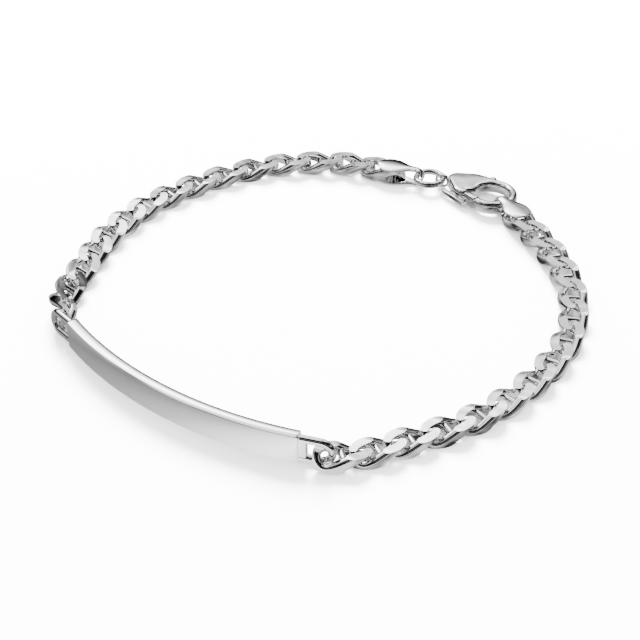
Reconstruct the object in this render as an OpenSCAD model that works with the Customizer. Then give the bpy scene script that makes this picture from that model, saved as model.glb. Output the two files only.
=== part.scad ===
// Silver name bracelet, lying on a table with its clasp closed.
// The chain lies flat, and the curved plate stands on its long edge.
// All sizes are millimetres. The origin is on the table, in the middle of the laid bracelet.

/* [Plate] */
// Length of the name plate, along its middle surface
plate_len = 34.8; // [28:0.5:46]
// Height of the plate as it stands on its long edge
plate_h = 3.7; // [3.4:0.05:5]
// Thickness of the plate
plate_t = 1.4; // [1:0.05:2]
// Radius that the plate's middle surface is bent to
plate_bend_r = 49; // [38:0.5:70]
// Small flat where the plate's faces meet
plate_bevel = 0.12; // [0.05:0.01:0.3]
// Length of the set-back tongue at each end of the plate
tongue_len = 0.9; // [0.6:0.05:1.1]
// Thickness of the tongue
tongue_t = 0.8; // [0.6:0.05:1]
// Distance from the plate's end to the outside of chain A's wire eye
eye_reach_a = 4.5; // [4.3:0.05:4.8]
// Distance from the plate's end to the outside of chain B's wire eye
eye_reach_b = 4.2; // [3.9:0.05:5]
// Turn of chain A's wire eye outwards from the plate's line, in degrees
eye_turn = 8; // [4:1:12]
// Height of the wire eye, outside
eye_h = 3.5; // [3.3:0.05:4]
// Wire of the eye
eye_wire = 0.75; // [0.6:0.05:0.9]

/* [Chain] */
// Distance between the middles of neighbouring links
link_pitch = 4.42; // [4.2:0.02:4.7]
// Lengthwise play between neighbouring links
link_play = 0.32; // [0.28:0.02:0.4]
// Width of a link, outside
link_w = 3.7; // [3.6:0.05:4.6]
// Wire of a link at its ends
link_wire = 0.94; // [0.8:0.02:1]
// Wire of a link along its sides
link_side = 1.15; // [1:0.05:1.25]
// Thickness of the chain between its two cut faces
link_t = 1.7; // [1.5:0.05:1.9]
// Slope of a link's end where it crosses the next link's, in degrees
link_twist = 50; // [48:0.5:53]
// Straight stud across the middle of a link
stud_d = 0.75; // [0.5:0.05:0.9]
// Play of chain A's first link in the plate's eye
eye_play_a = 0.79; // [0.5:0.02:0.9]
// Play of chain B's first link in the plate's eye
eye_play_b = 1.1; // [0.5:0.02:1.4]

/* [End caps] */
// Width of an end cap's rounded end
cap_w = 3.4; // [2.8:0.1:4]
// Width of an end cap's neck
cap_neck_w = 1.3; // [1:0.05:1.6]
// Height of a folded end cap
cap_h = 2.5; // [2.45:0.05:3]
// Thickness of the strip that an end cap is folded from
cap_sheet = 0.22; // [0.2:0.01:0.25]
// Distance from the post to the rounded tip
cap_tip = 2.2; // [1.8:0.05:2.6]
// Distance from the post to the outside of the fold
cap_reach = 4.3; // [3.9:0.05:5]
// Post that crosses an end cap inside its link
post_d = 0.7; // [0.5:0.05:0.8]

/* [Jump ring] */
// Outer diameter of the jump ring
ring_d = 4.3; // [3.9:0.1:5]
// Wire of the jump ring
ring_wire = 0.7; // [0.6:0.05:0.8]

/* [Clasp] */
// Thickness of the clasp
clasp_t = 1.8; // [1.5:0.05:2]
// Outer radius of the claw
claw_r = 3.4; // [3.3:0.05:3.8]
// Radius of the hole in the claw
claw_hole_r = 2.2; // [2.1:0.05:2.4]
// Distance from the tail's hole to the middle of the claw
claw_dist = 7.65; // [7.3:0.05:8.2]
// How far the claw's middle lies off the line of the tail
claw_offset = 0.7; // [0.3:0.05:0.9]
// Radius of the clasp's shoulder
shoulder_r = 2.85; // [2.6:0.05:3.3]
// Radius of the body's narrow end, beside the tail
tail_r = 1.45; // [1:0.05:1.6]
// Outer diameter of the tail's upright eye
tail_d = 2.1; // [1.9:0.05:2.3]
// Hole of the tail's eye
tail_hole_d = 1.35; // [1.2:0.05:1.4]
// Width of the tail's eye
tail_w = 0.65; // [0.5:0.05:0.8]
// Pin that the lever turns on
pin_d = 0.6; // [0.4:0.05:0.8]
// Thickness of the lever's web, inside the body's slot
lever_t = 0.6; // [0.4:0.05:0.8]
// Width of the lever's gate
gate_w = 1.1; // [0.9:0.05:1.2]
// How far the gate opens into the claw, in degrees
gate_swing = 24; // [10:1:28]
// Slack of the end cap's fold round the claw's arm
claw_slack = 0.75; // [0.3:0.05:0.9]
// Radius of the nub on the back of the clasp
nub_r = 0.62; // [0.4:0.02:0.8]

/* [Fit] */
// Gap that moving pieces keep
gap = 0.1; // [0.08:0.01:0.14]
// Gap round the lever's pin
pin_gap = 0.05; // [0.03:0.01:0.08]

/* [Hidden] */
$fn = 32;
eps = 0.02;
silver = [0.87, 0.87, 0.88];

// Route of the laid bracelet, from the plate's middle round by chain A, the clasp and chain B
route = [[-17.6, -22.5], [-23.9, -16.6], [-29.1, -9.9], [-31.05, -4.4], [-30.9, -0.1], [-29.9, 4],
    [-27.4, 12.5], [-23, 20], [-16.5, 25.9], [-8.6, 30.1], [-4.2, 31.1],
    [0.2, 31.35], [4.75, 30.7], [8.9, 29], [13.4, 27.3], [16.8, 26.2],
    [23.4, 21.9], [26.4, 15.9], [29.8, 7.6], [31.1, -0.8], [29.4, -9.7],
    [24.5, -17.9], [17.7, -24.3], [9.7, -28.5], [2.2, -31.3], [-2.3, -30.4],
    [-10.3, -27.1]];
// How far the links lie short of an even spacing: [link number, distance]
bunching_a = [[1, 0], [2, 0.02], [3, 0.17], [6, 0.14], [10, 0.44], [15, -0.1]];
bunching_b = [[1, 0], [3, 0.65], [6, 0.35], [9, 0], [12, -0.35], [15, -0.35]];
// Outline of an end cap: [share of the way from tip to neck, share of the width beyond the neck]
cap_outline = [[0, -0.2], [0.03, 0.22], [0.09, 0.55], [0.19, 0.83], [0.32, 0.98], [0.44, 0.98],
    [0.56, 0.82], [0.68, 0.52], [0.79, 0.24], [0.9, 0.06], [1, 0]];
// How far links are turned from the route: [link number, degrees]
swivel_a = [[1, 1.8], [2, 0], [13, 0], [15, -2]];
// Roll of the links near the plate, outer side up: [link number, degrees]
roll_a = [[1, 58.4], [2, 35], [3, 27.5], [4, 20], [5, 14], [8, 0]];
roll_b = [[1, 0]];
swivel_b = [[1, 5], [2, 0]];
// How far round the jump ring the clasp's tail lies from the end cap's far side, in degrees
tail_turn = 1;
// Sides of the meshed links
link_sides = 16;
wire_sides = 6;
// Squareness of a link's oval, where 2 is an ellipse
link_square = 2.3;

// Sizes that follow from the ones above
link_inner = link_pitch + link_play;
link_half = (link_inner + link_wire) / 2;
link_half_w = (link_w - link_side) / 2;
link_z = link_t / 2;
eye_z = eye_h / 2;
cap_z = cap_h / 2;
clasp_z = cap_z;
// The first link of each chain tilts up to rest in the plate's eye: [its rise, its tilt in degrees]
first_pose_a = [0.92, 3.8];
first_pose_b = [0.28, 5.5];
fold_r = cap_h / 2;
cap_tilt = atan((cap_z - link_z) / (4 * link_pitch));
stud_to_post = link_inner / 2 - post_d / 2 - 4 * gap;
ring_r = (ring_d - ring_wire) / 2;
post_to_ring = cap_reach - cap_sheet - ring_wire / 2 - 4.2 * gap;
// The cap's fold lies in the claw's hole, with its edge round the arm
post_to_claw = cap_reach + claw_hole_r - cap_sheet - claw_slack;
tail_to_claw = norm([claw_dist, claw_offset]);
pin_at = [0.54 * claw_dist, -0.276 * claw_dist];
claw_at = [claw_dist, -claw_offset];
shoulder_at = [0.58 * claw_dist, 0];
cheek_r = pin_d / 2 + 0.3;
arm_r = (claw_r + claw_hole_r) / 2;
// The claw's arm ends where this spoke of the claw crosses it
claw_end = -113;
gate_tip = claw_at + arm_r * [cos(claw_end), sin(claw_end)];
gate_len = norm(gate_tip - pin_at);
gate_dir = atan2(gate_tip.y - pin_at.y, gate_tip.x - pin_at.x);
clasp_bevel = 0.26 * clasp_t;
hole_bevel = 0.15 * clasp_t;
// The thumb tab's inner and outer edges, from the pin, and its height
tab_in = cheek_r + gap;
tab_out = tab_in + 0.6;
tab_h = clasp_t - 0.3;
// Height of the pin's end above the clasp's middle
pin_top = 0.3 * clasp_t;

first_a = plate_len / 2 + eye_reach_a - eye_wire + link_inner / 2 - eye_play_a;
first_b = plate_len / 2 + eye_reach_b - eye_wire + link_inner / 2 - eye_play_b;

// The route as a smooth closed curve, with the distance along it at each point
route_n = len(route);
function spot(i) = route[(i + route_n) % route_n];
function hermite(t, a, ta, b, tb) =
    (2 * t * t * t - 3 * t * t + 1) * a + (t * t * t - 2 * t * t + t) * ta
    + (3 * t * t - 2 * t * t * t) * b + (t * t * t - t * t) * tb;
function slope(i) =
    (spot(i + 1) - spot(i - 1)) / (norm(spot(i + 1) - spot(i)) + norm(spot(i) - spot(i - 1)));
function between(i, t) =
    let (span = norm(spot(i + 1) - spot(i)))
    hermite(t, spot(i), span * slope(i), spot(i + 1), span * slope(i + 1));
route_steps = 12;
curve = [for (i = [0 : route_n - 1], k = [0 : route_steps - 1]) between(i, k / route_steps), spot(0)];
mileage = [for (i = 0, s = 0; i < len(curve); s = i + 1 < len(curve) ? s + norm(curve[i + 1] - curve[i]) : s,
    i = i + 1) s];
loop_len = mileage[len(mileage) - 1];
table_x = [for (i = [0 : len(curve) - 1]) [mileage[i], curve[i].x]];
table_y = [for (i = [0 : len(curve) - 1]) [mileage[i], curve[i].y]];
function wrap(s) = s < 0 ? s + loop_len : s;
function at(s) = [lookup(wrap(s), table_x), lookup(wrap(s), table_y)];
function angle_of(v) = atan2(v.y, v.x);
function heading(s) = angle_of(at(s + 1) - at(s - 1));
function toward(p, angle, distance) = p + distance * [cos(angle), sin(angle)];
// Point at distance a from p and b from q, left of the way from p to q
function meet(p, q, a, b) =
    let (c = norm(q - p), along = (a * a + c * c - b * b) / (2 * c))
    toward(toward(p, angle_of(q - p), along), angle_of(q - p) + 90, sqrt(max(0, a * a - along * along)));

// Stations of the links, counted from the plate's middle
function station_a(k) = first_a + (k - 1) * link_pitch - lookup(k, bunching_a);
function station_b(k) = -(first_b + (k - 1) * link_pitch - lookup(k, bunching_b));

// The closed clasp, from chain A's last link to chain B's
post_a = toward(at(station_a(15)), heading(station_a(15)), stud_to_post);
post_b = toward(at(station_b(15)), heading(station_b(15)) + 180, stud_to_post);
cap_a_dir = angle_of(at(station_a(15) + stud_to_post + post_to_ring) - post_a);
ring_in = toward(post_a, cap_a_dir, post_to_ring);
ring_dir = angle_of(at(station_a(15) + stud_to_post + post_to_ring + 2 * ring_r) - ring_in);
ring_at = toward(ring_in, ring_dir, ring_r);
tail_at = toward(ring_at, ring_dir + tail_turn, ring_r);
claw_mid = meet(tail_at, post_b, tail_to_claw, post_to_claw);
clasp_dir = angle_of(claw_mid - tail_at) + atan2(claw_offset, claw_dist);
cap_b_dir = angle_of(claw_mid - post_b);

// Puts a piece of the clasp where the clasp lies
module in_clasp() {
    translate([tail_at.x, tail_at.y, clasp_z]) rotate([0, 0, clasp_dir]) children();
}

// One end of the plate: place is measured along the plate, away from its end
module at_plate_end(side) {
    half_angle = plate_len / plate_bend_r * 90 / PI;
    middle = toward(at(0), heading(0) - 90, plate_bend_r);
    spoke = heading(0) + 90 + side * half_angle * -1;
    end = toward(middle, spoke, plate_bend_r);
    translate([end.x, end.y, 0]) rotate([0, 0, spoke - side * 90]) children();
}

// The wire eye stands in the plate's own plane
module wire_eye(reach) {
    bend_r = (eye_h - eye_wire) / 2;
    bend_x = reach - eye_h / 2;
    translate([bend_x, 0, eye_z]) rotate([90, 0, 0]) rotate([0, 0, -90])
        rotate_extrude(angle = 180) translate([bend_r, 0]) circle(d = eye_wire, $fn = 24);
    for (up = [-1, 1])
        translate([gap, 0, eye_z + up * bend_r]) rotate([0, 90, 0])
            cylinder(d = eye_wire, h = bend_x - gap, $fn = 24);
}

// Section of the plate, with its bevelled corners: x is across the plate, y is up
module plate_section() {
    b = plate_bevel;
    polygon([[-plate_t / 2, b], [-plate_t / 2 + b, 0], [plate_t / 2 - b, 0], [plate_t / 2, b],
        [plate_t / 2, plate_h - b], [plate_t / 2 - b, plate_h],
        [-plate_t / 2 + b, plate_h], [-plate_t / 2, plate_h - b]]);
}

module plate() {
    whole_angle = plate_len / plate_bend_r * 180 / PI;
    middle = toward(at(0), heading(0) - 90, plate_bend_r);
    color(silver) union() {
        translate([middle.x, middle.y, 0]) rotate([0, 0, heading(0) + 90 - whole_angle / 2])
            rotate_extrude(angle = whole_angle, $fn = 96) translate([plate_bend_r, 0]) plate_section();
        for (side = [-1, 1])
            at_plate_end(side) {
                translate([-plate_t / 2, -tongue_t / 2, plate_bevel])
                    cube([tongue_len + plate_t / 2, tongue_t, eye_h - 2 * plate_bevel]);
                rotate([0, 0, side > 0 ? eye_turn : 0]) wire_eye(side > 0 ? eye_reach_a : eye_reach_b);
            }
    }
}

// Signed power, which squares the link's oval
function squared(v) = sign(v) * pow(abs(v), 2 / link_square);
function link_spine(t) =
    let (x = link_half * squared(cos(t)), y = link_half_w * squared(sin(t)))
    [x, y, -tan(link_twist) / link_half * x * y];
// The wire is thicker along the sides than round the ends
function wire_r(t) = link_wire / 2 + (link_side - link_wire) / 2 * pow(abs(sin(t)), 3);
// One corner of the wire at turn t of the oval, cut back to the chain's flat faces
function link_corner(t, turn) =
    let (
        run = link_spine(t + 4) - link_spine(t - 4),
        along = run / norm(run),
        side = cross([0, 0, 1], along),
        inward = side / norm(side),
        up = cross(along, inward),
        p = link_spine(t) + wire_r(t) * (cos(turn) * inward + sin(turn) * up))
    [p.x, p.y, max(-link_t / 2, min(link_t / 2, p.z))];

// A twisted link with flat-cut faces and a stud across its middle
module curb_link() {
    n = link_sides;
    m = wire_sides;
    corners = [for (i = [0 : n - 1], j = [0 : m - 1])
        link_corner((i + 0.5) * 360 / n, j * 360 / m)];
    faces = [for (i = [0 : n - 1], j = [0 : m - 1], half = [0, 1])
        let (a = i * m + j, b = i * m + (j + 1) % m,
            c = (i + 1) % n * m + (j + 1) % m, d = (i + 1) % n * m + j)
        half == 0 ? [a, c, b] : [a, d, c]];
    color(silver) union() {
        polyhedron(corners, faces);
        rotate([90, 0, 0]) cylinder(d = stud_d, h = 2 * link_half_w, center = true, $fn = 10);
    }
}

// The last links rise bit by bit to the height of the cap
function lift(k) = lookup(k, [[11, 0], [15, cap_z - link_z]]);

// How far a rolled link's middle rises, so that its low edge stays on the table
function rolled(roll) = (link_half_w + 0.24) * sin(roll) - link_z * (1 - cos(roll));

// A link of the chain at its station; the first tilts into the eye, the last lies in its cap
module chain_link(s, k, eye_side, swivel, roll) {
    place = at(s);
    turn = lookup(k, roll);
    first = eye_side > 0 ? first_pose_a : first_pose_b;
    rise = k == 1 ? first[0] : lift(k) + rolled(turn);
    tilt = k == 1 ? eye_side * first[1] : k > 11 ? -eye_side * cap_tilt : 0;
    translate([place.x, place.y, link_z + rise]) rotate([0, 0, heading(s) + lookup(k, swivel)])
        rotate([0, tilt, 0]) rotate([turn, 0, 0]) curb_link();
}

// An end cap: the strip's two halves, the fold between them and the post inside the link
module end_cap(place, dir) {
    neck_x = cap_reach - fold_r;
    half_outline = [for (row = cap_outline)
        [-cap_tip + row[0] * (neck_x + cap_tip), cap_neck_w / 2 + row[1] * (cap_w - cap_neck_w) / 2]];
    outline = concat(half_outline, [for (i = [len(half_outline) - 1 : -1 : 0])
        [half_outline[i].x, -half_outline[i].y]]);
    color(silver) translate([place.x, place.y, 0]) rotate([0, 0, dir]) union() {
        for (z = [0, cap_h - cap_sheet])
            translate([0, 0, z]) linear_extrude(cap_sheet) polygon(outline);
        translate([neck_x - eps, 0, cap_z]) rotate([90, 0, 0]) rotate([0, 0, -90])
            rotate_extrude(angle = 180) translate([fold_r - cap_sheet, -cap_neck_w / 2])
                square([cap_sheet, cap_neck_w]);
        cylinder(d = post_d, h = cap_h - eps);
    }
}

module jump_ring() {
    color(silver) translate([ring_at.x, ring_at.y, cap_z])
        rotate_extrude($fn = 48) translate([ring_r, 0]) circle(d = ring_wire, $fn = 24);
}

// A round slab with bevelled rims
module puck(r) {
    b = clasp_bevel;
    cylinder(r = r, h = clasp_t - 2 * b, center = true);
    for (flip = [0, 1])
        mirror([0, 0, flip]) translate([0, 0, clasp_t / 2 - b]) cylinder(r1 = r, r2 = r - b, h = b);
}

// Puts a shape where the lever turns, with its x along the closed gate
module at_pin() {
    translate(pin_at) rotate(gate_dir) children();
}

// The space that the body leaves for the gate's swing and for the tab, in plan
module swing_room() {
    far = gate_len + gap;
    open_dir = gate_swing + 34;
    at_pin() difference() {
        union() {
            polygon([[0, 0], [0, -far], [far, -far], [far, 0], [far, far * tan(open_dir) * 0.62],
                [0.7 * far, 0.7 * far * tan(open_dir)]]);
            translate([-2 * far, -2 * far]) square([2 * far + eps, 2 * far - tab_in + gap]);
        }
        circle(r = cheek_r);
    }
}

module clasp_body() {
    color(silver) in_clasp() union() {
        difference() {
            hull() {
                translate([tail_d / 2 + tail_r - 0.4, 0.55, 0]) puck(tail_r);
                translate(shoulder_at) puck(shoulder_r);
                translate(claw_at) puck(claw_r);
            }
            translate(claw_at) {
                cylinder(r = claw_hole_r, h = 2 * clasp_t, center = true, $fn = 48);
                for (flip = [0, 1])
                    mirror([0, 0, flip]) translate([0, 0, clasp_t / 2 - hole_bevel])
                        cylinder(r1 = claw_hole_r, r2 = claw_hole_r + 2 * hole_bevel, h = 2 * hole_bevel);
            }
            translate([0, 0, -clasp_t]) linear_extrude(2 * clasp_t) swing_room();
            translate([0, 0, -lever_t / 2 - gap]) linear_extrude(lever_t + 2 * gap) lever_slot();
            translate([pin_at.x, pin_at.y, -clasp_t])
                cylinder(d = pin_d + 2 * pin_gap, h = clasp_t + pin_top + gap);
        }
        rotate([90, 0, 0]) difference() {
            cylinder(d = tail_d, h = tail_w, center = true);
            cylinder(d = tail_hole_d, h = 2 * tail_w, center = true);
        }
        translate(claw_at) rotate(112) translate([claw_r + 0.1, 0, 0.25]) sphere(r = nub_r);
    }
}

// The thumb tab along the body's edge, in plan
module thumb_tab() {
    at_pin() polygon([[1.4, 0.3 - gate_w / 2], [1.15, -tab_out], [-2.9, -tab_out], [-3.3, -tab_out + 0.2],
        [-3.2, -tab_in], [0.3, -tab_in], [cheek_r + gap + 0.15, -gate_w / 2]]);
}

// The lever's web, which turns in the body's slot, in plan
module web() {
    at_pin() {
        circle(r = cheek_r - 0.05);
        polygon([[1, -tab_in - eps], [1, 0.5], [0.3, 0.5], [-0.5, 0.3], [-1.6, -tab_in - eps]]);
    }
}

// The slot in the body's middle, in plan
module lever_slot() {
    at_pin() {
        circle(r = cheek_r + gap);
        polygon([[3, -4], [-3.6, -4], [-3.6, gap - tab_in], [-1.75, gap - tab_in], [-0.6, 0.42],
            [0, cheek_r + gap], [3, cheek_r + gap]]);
    }
}

// The gate that closes the claw, in plan
module gate() {
    at_pin() difference() {
        polygon([[0, -gate_w / 2], [gate_len, -gate_w / 2], [gate_len, gate_w / 2], [1.1, gate_w / 2], [0.3, 0]]);
        circle(r = cheek_r + gap);
    }
}

module clasp_lever() {
    color(silver) in_clasp() difference() {
        union() {
            translate([0, 0, -lever_t / 2]) linear_extrude(lever_t) web();
            translate([0, 0, -tab_h / 2]) linear_extrude(tab_h) thumb_tab();
            translate([0, 0, -clasp_t / 2]) linear_extrude(clasp_t) gate();
        }
        translate(pin_at) cylinder(d = pin_d + 2 * pin_gap, h = 2 * clasp_t, center = true);
    }
}

// The pin ends below the body's smooth top
module clasp_pin() {
    color(silver) in_clasp() translate([pin_at.x, pin_at.y, -clasp_t / 2])
        cylinder(d = pin_d, h = clasp_t / 2 + pin_top);
}

plate();
for (k = [1 : 15]) {
    number = str(k < 10 ? "0" : "", k);
    chain_link(station_a(k), k, 1, swivel_a, roll_a);
    chain_link(station_b(k), k, -1, swivel_b, roll_b);
}
end_cap(post_a, cap_a_dir);  // end_cap_a
end_cap(post_b, cap_b_dir);  // end_cap_b
jump_ring();
clasp_body();
clasp_lever();
clasp_pin();
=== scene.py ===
import math

import bmesh
import bpy
import numpy as np
from mathutils import Matrix, Vector


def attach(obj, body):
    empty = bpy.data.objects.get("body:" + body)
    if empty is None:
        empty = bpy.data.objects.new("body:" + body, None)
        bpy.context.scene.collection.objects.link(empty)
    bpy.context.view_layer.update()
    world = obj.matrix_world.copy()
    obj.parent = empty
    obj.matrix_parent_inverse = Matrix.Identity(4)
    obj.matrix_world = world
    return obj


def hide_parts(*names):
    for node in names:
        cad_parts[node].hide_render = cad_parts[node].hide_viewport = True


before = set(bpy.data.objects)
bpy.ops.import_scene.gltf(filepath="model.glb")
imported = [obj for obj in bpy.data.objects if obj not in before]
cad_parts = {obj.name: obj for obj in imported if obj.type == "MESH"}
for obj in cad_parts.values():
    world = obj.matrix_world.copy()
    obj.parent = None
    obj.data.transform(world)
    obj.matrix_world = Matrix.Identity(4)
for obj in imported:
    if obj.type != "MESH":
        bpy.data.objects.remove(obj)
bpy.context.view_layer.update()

# THE NAME PLATE
# A bar of silver, bent to the wrist's curve and buffed to a mirror. It stands on its long edge, with a
# crowned upper edge, and at each end a set-back tongue carries a soldered eye of round wire.
plate_middle = Vector((12.36, 16.27, 0))
plate_bend = 49.0
plate_start, plate_stop = math.radians(211.96), math.radians(252.66)
plate_top = 3.7
plate_half_section = [
    (0.58, 0.0), (0.7, 0.12), (0.7, 3.52), (0.665, 3.585),
    (0.6, 3.625), (0.45, 3.66), (0.3, 3.682), (0.15, 3.695),
]
plate_end_round = 0.05
tongue_size, tongue_middle, tongue_round = (1.35, 0.8, 3.24), (0.225, 0, 1.76), 0.16
eye_wire = 0.94
eye_tall = 3.5
eye_root = 0.1
left_eye_reach, right_eye_reach = 4.5, 4.2
left_eye_turn = math.radians(8)


class Amount:
    """A number in a material that sums can be written with."""

    def __init__(self, bench, socket):
        self.bench, self.socket = bench, socket

    def sum(self, kind, first, second):
        return self.bench.node("ShaderNodeMath", {"operation": kind}, {0: first, 1: second})

    def __add__(self, other):
        return self.sum("ADD", self, other)

    def __sub__(self, other):
        return self.sum("SUBTRACT", self, other)

    def __mul__(self, other):
        return self.sum("MULTIPLY", self, other)


class Bench:
    """One material's nodes, laid down one at a time."""

    def __init__(self, name):
        self.material = bpy.data.materials.new(name)
        self.material.use_nodes = True
        self.tree = self.material.node_tree
        self.tree.nodes.clear()

    def node(self, kind, settings, inputs, output=0):
        made = self.tree.nodes.new(kind)
        for key, value in settings.items():
            if key == "stops":
                ramp = made.color_ramp
                while len(ramp.elements) < len(value):
                    ramp.elements.new(1)
                for stop, (place, colour) in zip(ramp.elements, value):
                    stop.position, stop.color = place, colour
            else:
                setattr(made, key, value)
        for key, value in inputs.items():
            if isinstance(value, Amount):
                self.tree.links.new(value.socket, made.inputs[key])
            else:
                made.inputs[key].default_value = value
        return Amount(self, made.outputs[output]) if made.outputs else None

    def finish(self, surface):
        self.node("ShaderNodeOutputMaterial", {}, {"Surface": surface})
        return self.material


def polished_silver(name, tint, gloss, cloudy, scratch, ripple):
    """Buffed silver: tiny clouds in the gloss, hair scratches from the mop, and a slight ripple."""
    bench = Bench(name)
    place = bench.node("ShaderNodeTexCoord", {}, {}, "Object")
    clouds = bench.node("ShaderNodeTexNoise", {}, {"Vector": place, "Scale": 900.0, "Detail": 3.0})
    along = bench.node("ShaderNodeMapping", {}, {"Vector": place, "Scale": (1.0, 1.0, 14.0)})
    hairs = bench.node("ShaderNodeTexNoise", {}, {"Vector": along, "Scale": 5200.0, "Detail": 2.0})
    waves = bench.node("ShaderNodeTexNoise", {}, {"Vector": place, "Scale": 420.0, "Detail": 1.0})
    shade = bench.node(
        "ShaderNodeValToRGB",
        {"stops": [(0.3, (*[c * 0.97 for c in tint], 1)), (0.7, (*tint, 1))]},
        {"Fac": clouds},
    )
    rough = clouds * cloudy + (gloss - cloudy / 2)
    height = hairs * scratch + waves * ripple
    lean = bench.node("ShaderNodeBump", {}, {"Height": height, "Strength": 1.0, "Distance": 0.0001})
    return bench.finish(
        bench.node(
            "ShaderNodeBsdfPrincipled",
            {},
            {"Base Color": shade, "Metallic": 1.0, "Roughness": rough, "Normal": lean},
        )
    )


def cast(shape, name, finish, sharp=30.0):
    """Turns a shape in millimetres into a finished silver piece."""
    bmesh.ops.scale(shape, vec=(0.001, 0.001, 0.001), verts=shape.verts)
    bmesh.ops.recalc_face_normals(shape, faces=shape.faces)
    mesh = bpy.data.meshes.new(name)
    shape.to_mesh(mesh)
    shape.free()
    mesh.polygons.foreach_set("use_smooth", [True] * len(mesh.polygons))
    mesh.set_sharp_from_angle(angle=math.radians(sharp))
    mesh.materials.append(finish)
    piece = bpy.data.objects.new(name, mesh)
    bpy.context.scene.collection.objects.link(piece)
    return piece


def add_to(shape, other):
    """Puts a second shape in with the first, as soldered on."""
    spare = bpy.data.meshes.new("spare")
    other.to_mesh(spare)
    other.free()
    shape.from_mesh(spare)
    bpy.data.meshes.remove(spare)


def edges_in(geometry):
    return [g for g in geometry if isinstance(g, bmesh.types.BMEdge)]


def points_in(geometry):
    return [g for g in geometry if isinstance(g, bmesh.types.BMVert)]


def wire_eye(shape, reach):
    """A bow of round wire: out along the foot, round the bend and back along the top."""
    middle = eye_tall / 2
    bend = (eye_tall - eye_wire) / 2
    out = reach - eye_tall / 2
    foot = bmesh.ops.create_circle(shape, segments=28, radius=eye_wire / 2)["verts"]
    bmesh.ops.rotate(shape, verts=foot, matrix=Matrix.Rotation(math.pi / 2, 3, "Y"))
    bmesh.ops.translate(shape, verts=foot, vec=(eye_root, 0, middle - bend))
    foot_edges = list({e for v in foot for e in v.link_edges})
    run = bmesh.ops.extrude_edge_only(shape, edges=foot_edges)["geom"]
    tips = points_in(run)
    bmesh.ops.translate(shape, verts=tips, vec=(out - eye_root, 0, 0))
    rim = [e for e in edges_in(run) if all(v in tips for v in e.verts)]
    ring = [g for g in run if g in tips or g in rim]
    turn = bmesh.ops.spin(
        shape, geom=ring, cent=(out, 0, middle), axis=(0, -1, 0), angle=math.pi, steps=36
    )["geom_last"]
    back = bmesh.ops.extrude_edge_only(shape, edges=edges_in(turn))["geom"]
    bmesh.ops.translate(shape, verts=points_in(back), vec=(eye_root - out, 0, 0))


def plate_end(angle, away, reach, lean):
    """The tongue and its wire eye, made along x and then put at the plate's end."""
    end = bmesh.new()
    tongue = bmesh.ops.create_cube(end, size=1)["verts"]
    bmesh.ops.scale(end, vec=tongue_size, verts=tongue)
    bmesh.ops.translate(end, vec=tongue_middle, verts=tongue)
    bmesh.ops.bevel(
        end, geom=end.edges[:], offset=tongue_round, segments=4, profile=0.5, affect="EDGES", material=-1
    )
    before = set(end.verts)
    wire_eye(end, reach)
    wire = [v for v in end.verts if v not in before]
    bmesh.ops.rotate(end, verts=wire, matrix=Matrix.Rotation(lean, 3, "Z"))
    facing = angle + away * math.pi / 2
    bmesh.ops.rotate(end, verts=end.verts, matrix=Matrix.Rotation(facing, 3, "Z"))
    place = plate_middle + plate_bend * Vector((math.cos(angle), math.sin(angle), 0))
    bmesh.ops.translate(end, verts=end.verts, vec=place)
    return end


mirror_silver = polished_silver("mirror_silver", (0.955, 0.953, 0.95), 0.035, 0.02, 0.003, 0.012)

plate = bmesh.new()
section = plate_half_section + [(0, plate_top)] + [(-x, z) for x, z in reversed(plate_half_section)]
heading = Vector((math.cos(plate_start), math.sin(plate_start), 0))
corners = [
    plate.verts.new(plate_middle + heading * (plate_bend + x) + Vector((0, 0, z))) for x, z in section
]
face = plate.faces.new(corners)
bmesh.ops.spin(
    plate, geom=[face] + face.edges[:] + corners, cent=plate_middle, axis=(0, 0, 1),
    angle=plate_stop - plate_start, steps=120,
)
bmesh.ops.holes_fill(plate, edges=plate.edges[:], sides=0)
rims = [e for e in plate.edges if any(len(f.verts) > 8 for f in e.link_faces)]
bmesh.ops.bevel(
    plate, geom=rims, offset=plate_end_round, segments=2, profile=0.5, affect="EDGES", material=-1
)
add_to(plate, plate_end(plate_start, -1, left_eye_reach, left_eye_turn))
add_to(plate, plate_end(plate_stop, 1, right_eye_reach, 0.0))
plate_piece = cast(plate, "name_plate", mirror_silver)
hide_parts("plate")
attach(plate_piece, "root")

# THE CURB CHAIN
# Thirty links of wire, twisted so that they lie flat, cut flat on both faces, and each with a stud soldered
# across its middle. All are copies of one link, laid where the chain's solid links lie.
link_half = 2.84
link_half_wide = 1.275
link_twist = math.tan(math.radians(50)) / link_half
link_flat = 0.85
oval_power = 2.3
end_wire, side_wire = 0.94, 1.15
wire_power, wire_rise = 2.9, 1.22
stud_wire = 0.8
plain_ring = 3
short_turn = 0.06

tumbled_silver = polished_silver("tumbled_silver", (0.95, 0.948, 0.945), 0.05, 0.04, 0.008, 0.55)


def oval(turn):
    """The point of the wire's middle line at a turn round the link."""
    x = math.copysign(abs(math.cos(turn)) ** (2 / oval_power), math.cos(turn)) * link_half
    y = math.copysign(abs(math.sin(turn)) ** (2 / oval_power), math.sin(turn)) * link_half_wide
    return Vector((x, y, -link_twist * x * y))


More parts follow.
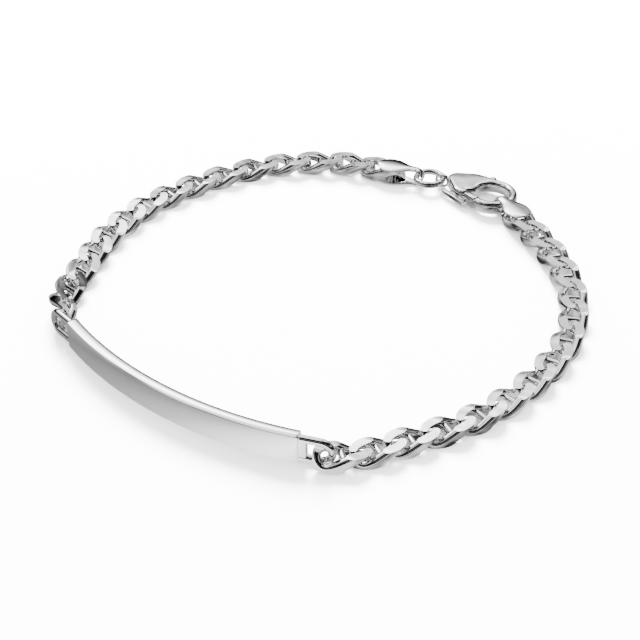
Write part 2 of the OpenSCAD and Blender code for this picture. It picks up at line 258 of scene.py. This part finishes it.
link = bmesh.new()
wire = bmesh.ops.create_circle(link, segments=48, radius=1)["verts"]
bmesh.ops.rotate(link, verts=wire, matrix=Matrix.Rotation(math.pi / 2, 3, "X"))
bmesh.ops.translate(link, verts=wire, vec=(plain_ring, 0, 0))
bmesh.ops.spin(
    link, geom=link.verts[:] + link.edges[:], cent=(0, 0, 0), axis=(0, 0, 1), angle=2 * math.pi,
    steps=120, use_merge=True,
)
for v in link.verts:
    turn = math.atan2(v.co.y, v.co.x)
    across, up = math.hypot(v.co.x, v.co.y) - plain_ring, v.co.z
    along = (oval(turn + short_turn) - oval(turn - short_turn)).normalized()
    inward = Vector((0, 0, 1)).cross(along).normalized()
    rise = along.cross(inward)
    thick = end_wire / 2 + (side_wire - end_wire) / 2 * abs(math.sin(turn)) ** 3
    square = (abs(across) ** wire_power + abs(up) ** wire_power) ** (-1 / wire_power)
    v.co = oval(turn) + thick * square * (-across * inward + wire_rise * up * rise)
for side in (1, -1):
    cut = bmesh.ops.bisect_plane(
        link, geom=link.verts[:] + link.edges[:] + link.faces[:], dist=0.00001,
        plane_co=(0, 0, side * link_flat), plane_no=(0, 0, side), clear_outer=True,
    )["geom_cut"]
    bmesh.ops.holes_fill(link, edges=edges_in(cut), sides=0)
stud = bmesh.ops.create_cone(
    link, cap_ends=True, segments=20, radius1=stud_wire / 2, radius2=stud_wire / 2, depth=2 * link_half_wide
)["verts"]
bmesh.ops.rotate(link, verts=stud, matrix=Matrix.Rotation(math.pi / 2, 3, "X"))
bmesh.ops.recalc_face_normals(link, faces=link.faces)

for name in sorted(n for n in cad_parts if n.startswith("link_")):
    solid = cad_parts[name].data
    spots = np.unique(np.round([v.co[:] for v in solid.vertices], 7), axis=0) * 1000
    centre = spots.mean(0)
    axes = np.linalg.eigh(np.cov((spots - centre).T))[1]
    long_way, wide_way = Vector(axes[:, 2]), Vector(axes[:, 1])
    lie = Matrix((long_way, wide_way, long_way.cross(wide_way))).transposed()
    laid = link.copy()
    bmesh.ops.rotate(laid, verts=laid.verts, matrix=lie)
    bmesh.ops.translate(laid, verts=laid.verts, vec=Vector(centre))
    piece = cast(laid, name.replace("link", "curb"), tumbled_silver, sharp=28)
    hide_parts(name)
    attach(piece, "root")
link.free()

# THE END CAPS
# Each is one strip of sheet silver, waisted in the middle and folded over, with the chain's last link
# pinned between its two leaves by a soldered post.
cap_middle = 1.25
cap_fold = 1.25
cap_tip, cap_neck = -2.2, 3.05
cap_sheet = 0.22
cap_crown = 0.2
cap_rim_round = 0.06
cap_half_neck, cap_swell = 0.65, 1.05
cap_outline = [
    (0, -0.2), (0.03, 0.22), (0.09, 0.55), (0.19, 0.83), (0.32, 0.98), (0.44, 0.98),
    (0.56, 0.82), (0.68, 0.52), (0.79, 0.24), (0.9, 0.06), (1, 0),
]
post_radius = 0.35

stamped_silver = polished_silver("stamped_silver", (0.95, 0.948, 0.945), 0.08, 0.04, 0.01, 0.3)


def cap_half_width(part):
    places, shares = zip(*cap_outline)
    return cap_half_neck + cap_swell * float(np.interp(part, places, shares))


def end_cap(name, node, x, y, facing):
    """One strip, folded over its bow, crowned, thickened and given its post."""
    strip = bmesh.new()
    leaf = cap_neck - cap_tip
    bow = math.pi * cap_fold
    whole = 2 * leaf + bow
    bmesh.ops.create_grid(strip, x_segments=120, y_segments=12, size=1)
    for v in strip.verts:
        run, share = (v.co.x + 1) / 2 * whole, v.co.y
        if run < leaf:
            part, spot = run / leaf, Vector((cap_tip + run, 0, 0))
        elif run > leaf + bow:
            part = (whole - run) / leaf
            spot = Vector((cap_tip + whole - run, 0, 2 * cap_fold))
        else:
            part, angle = 1.0, (run - leaf) / cap_fold - math.pi / 2
            spot = Vector((cap_neck + math.cos(angle) * cap_fold, 0, cap_middle + math.sin(angle) * cap_fold))
        spot.y = share * cap_half_width(part)
        spot.z += cap_crown * share * share * (1 - spot.z / cap_fold)
        v.co = spot
    bmesh.ops.recalc_face_normals(strip, faces=strip.faces)
    top = max(strip.faces, key=lambda f: f.calc_center_median().z)
    if top.normal.z < 0:
        bmesh.ops.reverse_faces(strip, faces=strip.faces)
    bmesh.ops.solidify(strip, geom=strip.faces[:], thickness=cap_sheet)
    rim = [e for e in strip.edges if e.is_manifold and e.calc_face_angle(0) > 1.0]
    bmesh.ops.bevel(
        strip, geom=rim, offset=cap_rim_round, segments=3, profile=0.5, affect="EDGES", material=-1
    )
    post = bmesh.ops.create_cone(
        strip, cap_ends=True, segments=24, radius1=post_radius, radius2=post_radius,
        depth=2 * cap_fold - cap_sheet,
    )["verts"]
    bmesh.ops.translate(strip, verts=post, vec=(0, 0, cap_middle))
    bmesh.ops.rotate(strip, verts=strip.verts, matrix=Matrix.Rotation(math.radians(facing), 3, "Z"))
    bmesh.ops.translate(strip, verts=strip.verts, vec=(x, y, 0))
    piece = cast(strip, name, stamped_silver, sharp=40)
    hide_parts(node)
    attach(piece, "root")


end_cap("folded_cap_a", "end_cap_a", x=10.1815, y=28.4663, facing=-19.928)
end_cap("folded_cap_b", "end_cap_b", x=25.8425, y=17.1632, facing=119.857)

# THE JUMP RING
# One ring of round silver wire, soldered shut. It joins the first end cap to the clasp's tail, and lies
# level with the middle of both.
ring_middle = (15.0075, 26.7891, 1.25)
ring_radius = 1.8
ring_wire_radius = 0.42

ring = bmesh.new()
wire = bmesh.ops.create_circle(ring, segments=28, radius=ring_wire_radius)["verts"]
bmesh.ops.rotate(ring, verts=wire, matrix=Matrix.Rotation(math.pi / 2, 3, "X"))
bmesh.ops.translate(ring, verts=wire, vec=(ring_radius, 0, 0))
bmesh.ops.spin(
    ring, geom=ring.verts[:] + ring.edges[:], cent=(0, 0, 0), axis=(0, 0, 1), angle=2 * math.pi,
    steps=72, use_merge=True,
)
bmesh.ops.translate(ring, verts=ring.verts, vec=ring_middle)
ring_piece = cast(ring, "round_ring", tumbled_silver)
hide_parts("jump_ring")
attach(ring_piece, "root")

# THE LOBSTER CLASP
# A cast body with a round claw, a tail eye that stands across it and a small nub on the claw's back. The
# lever turns on a pin in the body, and its gate closes the claw.
clasp_tail = Vector((16.731, 26.2701, 1.25))
clasp_facing = math.radians(-28.9082)
clasp_thick = 1.8
claw, claw_outer, claw_inner = Vector((7.65, -0.7)), 3.4, 2.2
shoulder, shoulder_radius = Vector((4.437, 0.0)), 2.85
tail, tail_radius = Vector((2.1, 0.55)), 1.45
pivot, pivot_radius = Vector((4.131, -2.1114)), 0.6
body_round = 0.56
tail_eye_radius, tail_eye_wire = 0.862, (0.188, 0.325, 1)
nub_radius, nub_reach, nub_turn, nub_height = 0.62, 3.5, math.radians(112), 0.35
gate_facing = math.radians(-25.6801)
gate_long, gate_round = 2.69, 0.38
gate_outline = [(0.72, -0.55), (gate_long, -0.55), (gate_long, 0.55), (1.1, 0.55), (0.66, 0.28)]
tab_thick, tab_round, tab_drop = 0.6, 0.14, -0.42
tab_outline = [
    (1.4, -0.25), (1.15, -1.3), (-2.9, -1.3), (-3.3, -1.1), (-3.2, -0.7), (0.3, -0.7), (0.85, -0.55)
]
web_round = 0.05
web_outline = [(1, -0.75), (1, 0.5), (0.3, 0.5), (-0.5, 0.3), (-1.6, -0.75)]

cast_silver = polished_silver("cast_silver", (0.95, 0.948, 0.945), 0.07, 0.05, 0.008, 0.35)


def sweep(middle, radius, first, last, count):
    """Points along an arc, from one angle to the other in degrees."""
    angles = [math.radians(first + (last - first) * i / count) for i in range(count + 1)]
    return [middle + radius * Vector((math.cos(a), math.sin(a))) for a in angles]


def slab(name, outline, thick, rounded):
    """A flat outline made a slab with round edges, on the clasp's own axes."""
    curve = bpy.data.curves.new(name, "CURVE")
    curve.dimensions, curve.fill_mode = "2D", "BOTH"
    curve.extrude, curve.bevel_depth = thick / 2 - rounded, rounded
    curve.bevel_resolution, curve.offset = 6, -rounded
    line = curve.splines.new("POLY")
    line.points.add(len(outline) - 1)
    for point, spot in zip(line.points, outline):
        point.co = (spot.x, spot.y, 0, 1)
    line.use_cyclic_u = True
    maker = bpy.data.objects.new(name, curve)
    bpy.context.scene.collection.objects.link(maker)
    bpy.context.view_layer.update()
    mesh = bpy.data.meshes.new_from_object(maker.evaluated_get(bpy.context.evaluated_depsgraph_get()))
    shape = bmesh.new()
    shape.from_mesh(mesh)
    bpy.data.objects.remove(maker)
    bpy.data.curves.remove(curve)
    bpy.data.meshes.remove(mesh)
    bmesh.ops.remove_doubles(shape, verts=shape.verts, dist=0.0005)
    return shape


def lay_in_clasp(shape):
    bmesh.ops.rotate(shape, verts=shape.verts, matrix=Matrix.Rotation(clasp_facing, 3, "Z"))
    bmesh.ops.translate(shape, verts=shape.verts, vec=clasp_tail)


def from_pin(points):
    turned = Matrix.Rotation(gate_facing, 2)
    return [pivot + turned @ Vector(p) for p in points]


outline = sweep(claw, claw_outer, -111.8, 87.34, 60) + sweep(shoulder, shoulder_radius, 87.34, 112.4, 10)
outline += sweep(tail, tail_radius, 112.4, 221.1, 24)
outline += sweep(shoulder, shoulder_radius, 222, 256, 14) + sweep(pivot, pivot_radius, -80, 32.32, 16)
outline += sweep(claw, claw_inner, 194.08, -109.7, 70)
body = slab("clasp", outline, clasp_thick, body_round)
eye = bmesh.new()
loop = bmesh.ops.create_circle(eye, segments=24, radius=1)["verts"]
bmesh.ops.scale(eye, vec=tail_eye_wire, verts=loop)
bmesh.ops.translate(eye, verts=loop, vec=(tail_eye_radius, 0, 0))
bmesh.ops.spin(
    eye, geom=eye.verts[:] + eye.edges[:], cent=(0, 0, 0), axis=(0, 1, 0), angle=2 * math.pi,
    steps=48, use_merge=True,
)
add_to(body, eye)
nub = bmesh.new()
bmesh.ops.create_uvsphere(nub, u_segments=28, v_segments=18, radius=nub_radius)
nub_spot = claw + nub_reach * Vector((math.cos(nub_turn), math.sin(nub_turn)))
bmesh.ops.translate(nub, verts=nub.verts, vec=(nub_spot.x, nub_spot.y, nub_height))
add_to(body, nub)
lay_in_clasp(body)
body_piece = cast(body, "lobster_body", cast_silver)
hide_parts("clasp_body")
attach(body_piece, "root")

lever = slab("gate", from_pin(gate_outline), clasp_thick, gate_round)
tab = slab("tab", from_pin(tab_outline), tab_thick, tab_round)
bmesh.ops.translate(tab, verts=tab.verts, vec=(0, 0, tab_drop))
add_to(lever, tab)
add_to(lever, slab("web", from_pin(web_outline), tab_thick, web_round))
lay_in_clasp(lever)
lever_piece = cast(lever, "gate_lever", cast_silver)
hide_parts("clasp_lever")
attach(lever_piece, "lever")

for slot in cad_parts["clasp_pin"].material_slots:
    slot.material = cast_silver

# THE SETTING
# A white sheet of paper under soft studio light. Only the silver sees the tent and the sheet under the paper,
# whose greys are painted shadow of the paper, seen only in reflection.
# The tent is grey cloth with a bright window behind and a dark card high up on the camera's side.
silver_only = ("camera", "diffuse", "shadow", "transmission", "volume_scatter")
glow = 10.0


def staged(shape, name, finish, unseen):
    """Stands a shape in the studio, hidden from the ways of seeing that are named."""
    mesh = bpy.data.meshes.new(name)
    shape.to_mesh(mesh)
    shape.free()
    mesh.materials.append(finish)
    thing = bpy.data.objects.new(name, mesh)
    bpy.context.scene.collection.objects.link(thing)
    for way in unseen:
        setattr(thing, "visible_" + way, False)


def greys(bench, over, steps):
    """A ramp of greys over a value, from its places and their greys."""
    stops = [(place, (grey, grey, grey, 1)) for place, grey in steps]
    return bench.node("ShaderNodeValToRGB", {"stops": stops}, {"Fac": over})


bench = Bench("white_paper")
paper = bench.finish(
    bench.node("ShaderNodeBsdfDiffuse", {}, {"Color": (0.9, 0.9, 0.9, 1), "Roughness": 0.0})
)
paper_sheet = bmesh.new()
bmesh.ops.create_grid(paper_sheet, x_segments=1, y_segments=1, size=3)
staged(paper_sheet, "paper", paper, ("glossy",))

bench = Bench("tent_cloth")
place = bench.node("ShaderNodeTexCoord", {}, {}, "Object")
right = bench.node("ShaderNodeSeparateXYZ", {}, {0: place}, "X")
back = bench.node("ShaderNodeSeparateXYZ", {}, {0: place}, "Y")
high = bench.node("ShaderNodeSeparateXYZ", {}, {0: place}, "Z")
folds = bench.node("ShaderNodeTexNoise", {}, {"Vector": place, "Scale": 2.3, "Detail": 1.0})
dim = bench.node("ShaderNodeMapRange", {}, {"Value": folds, 1: 0.46, 2: 0.52, 3: 0.16, 4: 1.0})
sides = greys(
    bench, high + back * 0.14,
    [(0.0, 0.001), (0.3, 0.002), (0.37, 0.03), (0.6, 0.075), (0.8, 0.17), (1.0, 0.19)],
)
card = greys(bench, high, [(0.52, 1.0), (0.57, 0.012)])
past_card = bench.node("ShaderNodeMapRange", {}, {"Value": back - right * 0.35, 1: -0.12, 2: 0.02})
shaded = bench.node("ShaderNodeMath", {"operation": "MAXIMUM"}, {0: card, 1: past_card})
cloth = bench.node("ShaderNodeEmission", {}, {"Color": sides, "Strength": dim * shaded * glow})
window = greys(
    bench, high, [(0.45, 0.0), (0.53, 0.12), (0.6, 0.34), (0.67, 0.8), (0.76, 0.3), (0.85, 0.0)]
)
behind = bench.node("ShaderNodeMapRange", {}, {"Value": back, 1: 0.4, 2: 0.55})
fade = bench.node("ShaderNodeMapRange", {}, {"Value": right, 1: -0.1, 2: 0.01, 3: 10.0, 4: 4.2})
panel = bench.node("ShaderNodeEmission", {}, {"Color": window, "Strength": behind * fade})
tent = bench.finish(bench.node("ShaderNodeAddShader", {}, {0: cloth, 1: panel}))
tent_shape = bmesh.new()
bmesh.ops.create_icosphere(tent_shape, subdivisions=5, radius=1.0)
staged(tent_shape, "tent", tent, silver_only)

# Painted shadow: a sheet under the paper that only the silver sees, greyed where the paper's shade would be
# mirrored.
bench = Bench("mirrored_floor_shadow")
place = bench.node("ShaderNodeTexCoord", {}, {}, "Object")
right = bench.node("ShaderNodeSeparateXYZ", {}, {0: place}, "X")
back = bench.node("ShaderNodeSeparateXYZ", {}, {0: place}, "Y")
# Painted shadow in front of the plate: darker towards the left end, lighter towards the right.
plate_front_shadow = greys(
    bench, right * 28.0 + 1.0,
    [(0.0, 0.045), (0.1, 0.032), (0.3, 0.055), (0.5, 0.1),
     (0.65, 0.19), (0.85, 0.32), (0.93, 0.22), (1.0, 0.15)],
)
# Painted shadow beyond the plate: mottled dark patches.
shadow_noise = bench.node("ShaderNodeTexNoise", {}, {"Vector": place, "Scale": 170.0, "Detail": 2.0})
mottled_shadow = greys(bench, shadow_noise, [(0.36, 0.004), (0.44, 0.03), (0.52, 0.06), (0.62, 0.12)])
past_plate = greys(bench, back * 500.0 + right * 388.0 + 16.0, [(0.45, 0.0), (0.55, 1.0)])
shades = bench.node("ShaderNodeMix", {"data_type": "RGBA"}, {0: past_plate, 6: plate_front_shadow, 7: mottled_shadow}, 2)
under = bench.finish(bench.node("ShaderNodeEmission", {}, {"Color": shades, "Strength": glow}))
under_sheet = bmesh.new()
bmesh.ops.create_grid(under_sheet, x_segments=1, y_segments=1, size=2)
bmesh.ops.translate(under_sheet, verts=under_sheet.verts, vec=(0, 0, -0.0001))
staged(under_sheet, "mirrored_floor_shadow", under, silver_only)

world = bpy.data.worlds.new("studio")
bpy.context.scene.world = world
world.use_nodes = True
world.node_tree.nodes["Background"].inputs["Color"].default_value = (1, 1, 1, 1)
world.node_tree.nodes["Background"].inputs["Strength"].default_value = 4.5

light = bpy.data.lights.new("back_light", "AREA")
light.shape, light.size, light.energy = "SQUARE", 0.45, 215.0
lamp = bpy.data.objects.new("back_light", light)
lamp.location = (-0.08, 0.8, 0.6)
lamp.rotation_euler = lamp.location.to_track_quat("Z", "Y").to_euler()
lamp.visible_glossy = False
bpy.context.scene.collection.objects.link(lamp)

camera_aim = Vector((0, -0.00585, 0.00087))
camera_distance = 0.19307
camera_height = math.radians(35.84)
camera = bpy.data.cameras.new("camera")
camera.lens, camera.sensor_width, camera.clip_start, camera.clip_end = 90.03, 36, 0.01, 20
shot = bpy.data.objects.new("camera", camera)
toward_camera = Vector((0, -math.cos(camera_height), math.sin(camera_height)))
shot.location = camera_aim + camera_distance * toward_camera
shot.rotation_euler = (math.pi / 2 - camera_height, 0, 0)
bpy.context.scene.collection.objects.link(shot)
bpy.context.scene.camera = shot
